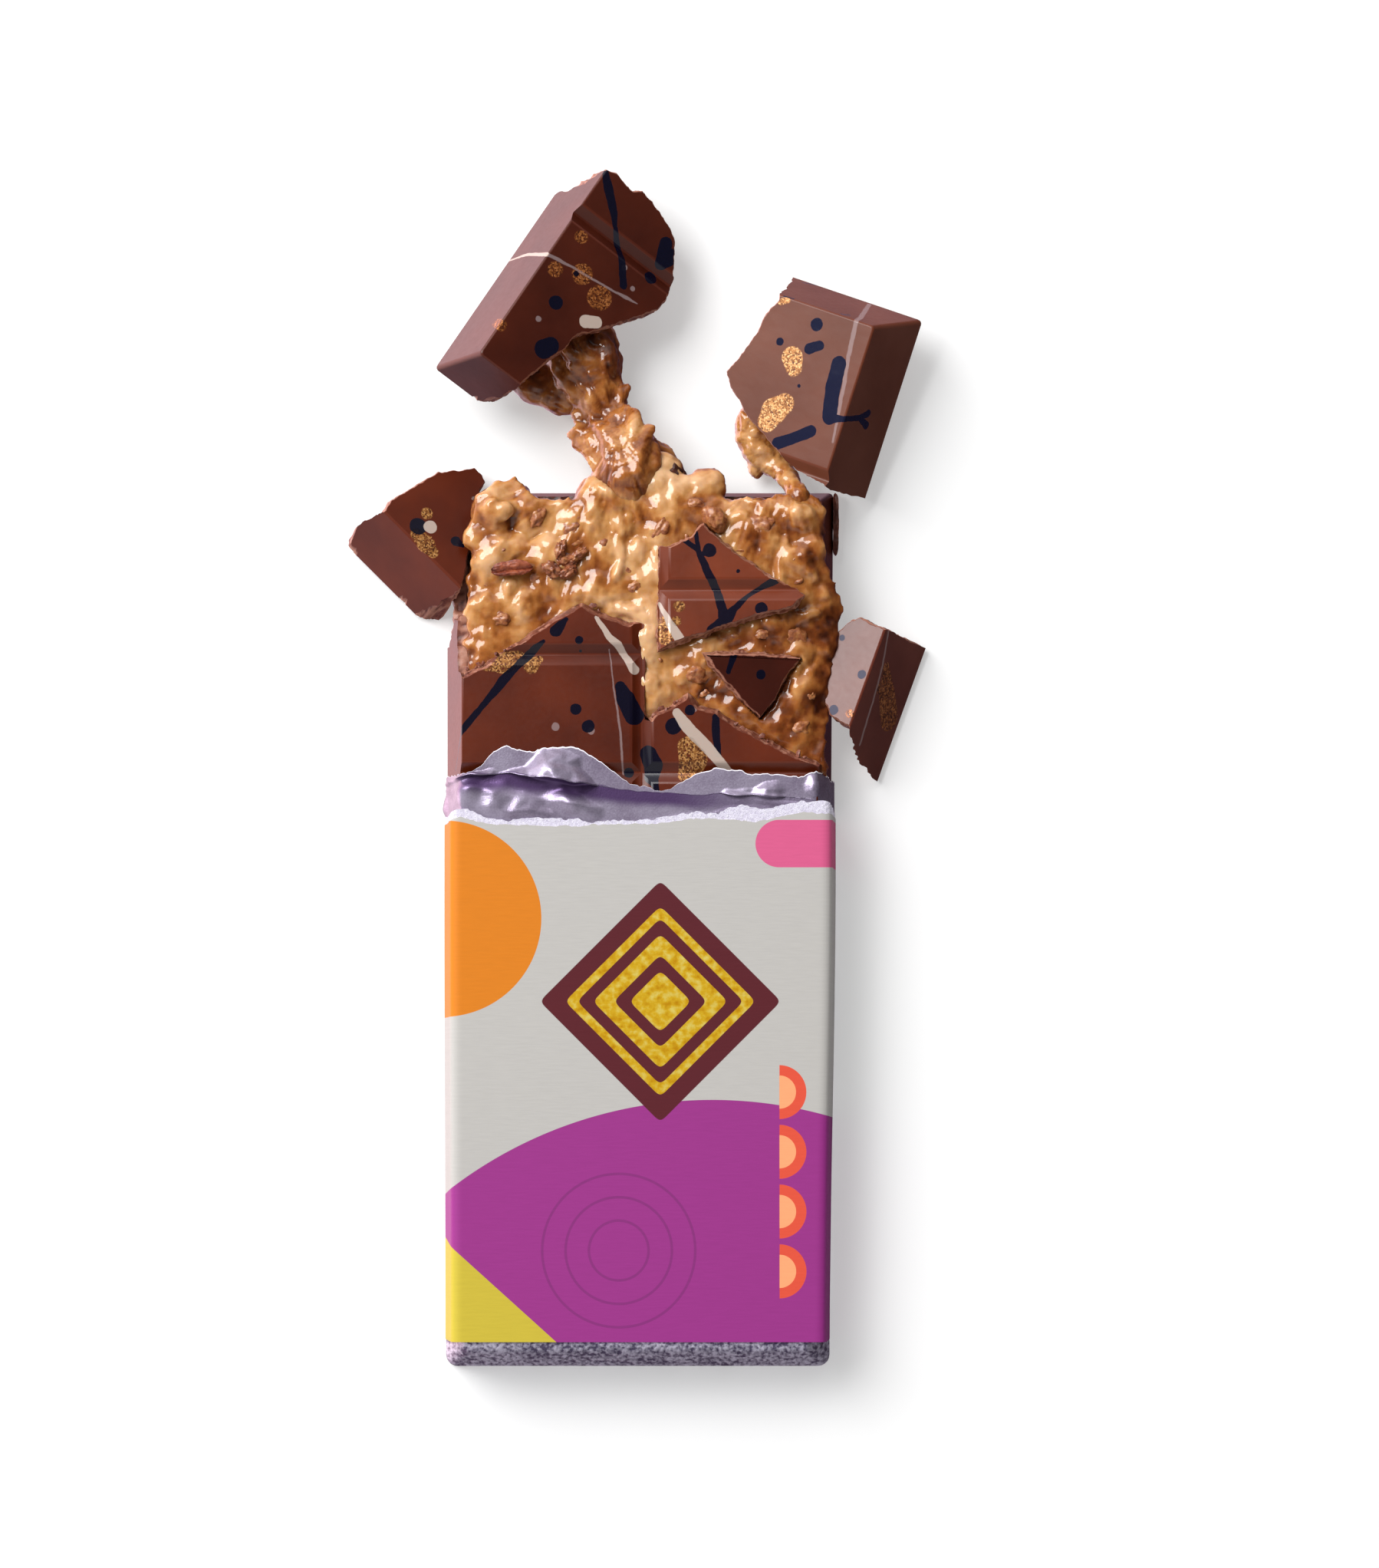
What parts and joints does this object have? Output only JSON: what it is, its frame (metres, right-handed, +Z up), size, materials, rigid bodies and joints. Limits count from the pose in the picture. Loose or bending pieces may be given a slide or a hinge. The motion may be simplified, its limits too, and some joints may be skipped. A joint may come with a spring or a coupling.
{
  "type": "filled chocolate bar in an opened pack",
  "caption": "Filled milk chocolate bar lying in a torn card band and foil, its far end broken open with shell fragments around it and nut and pretzel cream pulling out between them.",
  "frame": {"origin": "middle of the bounding box's base, on the surface that the bar lies on", "axes": "+Z up, +Y along the bar from its packed end to its broken end, +X to the right seen from above with the broken end away"},
  "size_m": [0.113, 0.2346, 0.0231],
  "materials": {
    "chocolate": "tempered milk chocolate, satin, with dark and bronze decoration splashed in the mould",
    "filling": "soft glossy nut and pretzel cream with crumbs",
    "crumb": "rough baked or roasted crumb",
    "foil": "lilac lacquered wrapping foil, satin, torn at one end",
    "card": "printed satin card with a fine linen grain and plain colour fields"
  },
  "bodies": {
    "root": {"bar_shell": "chocolate", "filling": "filling", "left_filling_pull": "filling", "right_filling_pull": "filling", "wall_splinter": "chocolate", "foil_wrap": "foil", "card_band": "card", "left_corner_piece": "chocolate", "right_corner_piece": "chocolate", "left_wall_piece": "chocolate", "right_wall_piece": "chocolate", "top_shard": "chocolate", "top_chip": "chocolate", "nut_cluster": "crumb", "chocolate_flake": "chocolate", "pretzel_crumb": "crumb", "dark_lump": "chocolate"}
  },
  "joints": []
}
